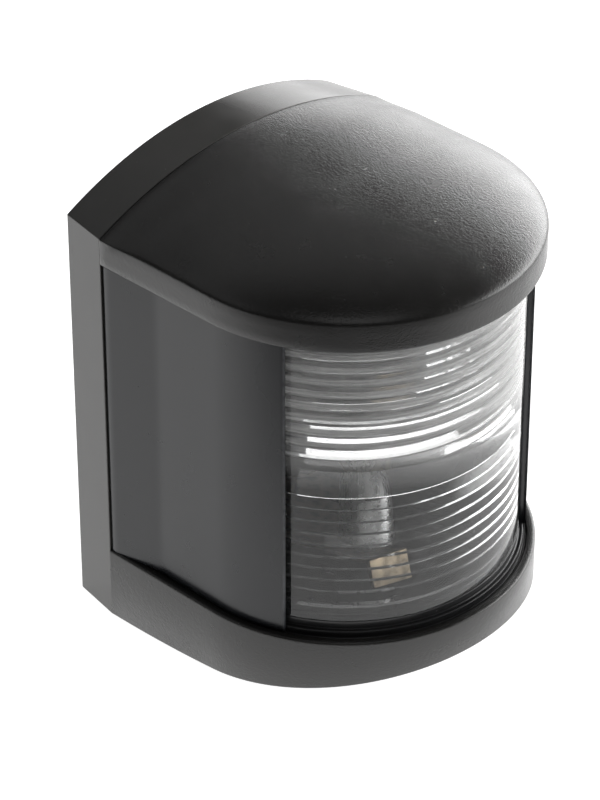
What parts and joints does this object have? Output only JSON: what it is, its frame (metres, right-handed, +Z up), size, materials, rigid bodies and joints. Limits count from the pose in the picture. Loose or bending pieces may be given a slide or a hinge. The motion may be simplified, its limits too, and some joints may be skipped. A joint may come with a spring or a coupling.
{
  "type": "navigation light",
  "caption": "Black navigation side light: domed hood, ribbed clear half-round lens between side shields, tray, and a shallow screw-on base with a festoon lamp inside.",
  "frame": {"origin": "centre of the flat mounting face at the back of the base", "axes": "+Z up, +Y out of the back towards the boat, the lens faces -Y, X across"},
  "size_m": [0.0668, 0.068, 0.085],
  "materials": {
    "smooth_black": "smooth satin moulded black",
    "grained_black": "fine spark-eroded grain, black",
    "shield_black": "smooth semi-gloss black",
    "clear_lens": "clear moulded plastic with inner rings",
    "seat_black": "glossy black",
    "seal_rubber": "soft matt rubber",
    "carrier_plastic": "dark grey insulating plastic",
    "contact_brass": "bare sheet brass, slightly dulled",
    "stainless": "turned stainless steel",
    "bulb_glass": "thin clear glass",
    "cap_metal": "plated brass",
    "filament_wire": "dark tungsten wire"
  },
  "bodies": {
    "base": {"base_housing": "smooth_black", "cover_seal": "seal_rubber", "cable_grommet": "seal_rubber", "lamp_carrier": "carrier_plastic", "carrier_screws": "stainless", "upper_contact": "contact_brass", "lower_contact": "contact_brass", "contact_rivets": "contact_brass", "retaining_insert": "contact_brass"},
    "cover": {"hood_cap": "grained_black", "lower_tray": "grained_black", "side_shield_left": "shield_black", "side_shield_right": "shield_black", "fresnel_lens": "clear_lens", "lens_upper_seal": "seal_rubber", "lens_seat_ring": "seat_black"},
    "lamp": {"lamp_glass": "bulb_glass", "lamp_cap_upper": "cap_metal", "lamp_cap_lower": "cap_metal", "lamp_filament": "filament_wire"},
    "cover_screw": {"retaining_screw": "stainless", "retaining_washer": "stainless"},
    "upper_terminal": {"terminal_screw_upper": "stainless"},
    "lower_terminal": {"terminal_screw_lower": "stainless"}
  },
  "joints": [
    {"name": "cover_release", "type": "slide", "parent": "base", "child": "cover", "axis": [0, -1, 0], "range_m": [0, 0.075]},
    {"name": "cover_screw_turn", "type": "hinge", "parent": "base", "child": "cover_screw", "pos_m": [0, -0.005, -0.0425], "axis": [0, 0, 1], "continuous": true},
    {"name": "lamp_turn", "type": "hinge", "parent": "base", "child": "lamp", "pos_m": [0, -0.039, 0.0009], "axis": [0, 0, 1], "continuous": true},
    {"name": "upper_terminal_turn", "type": "hinge", "parent": "base", "child": "upper_terminal", "pos_m": [0, -0.0091, 0.0148], "axis": [0, -1, 0], "continuous": true},
    {"name": "lower_terminal_turn", "type": "hinge", "parent": "base", "child": "lower_terminal", "pos_m": [0, -0.0091, -0.013], "axis": [0, -1, 0], "continuous": true}
  ]
}
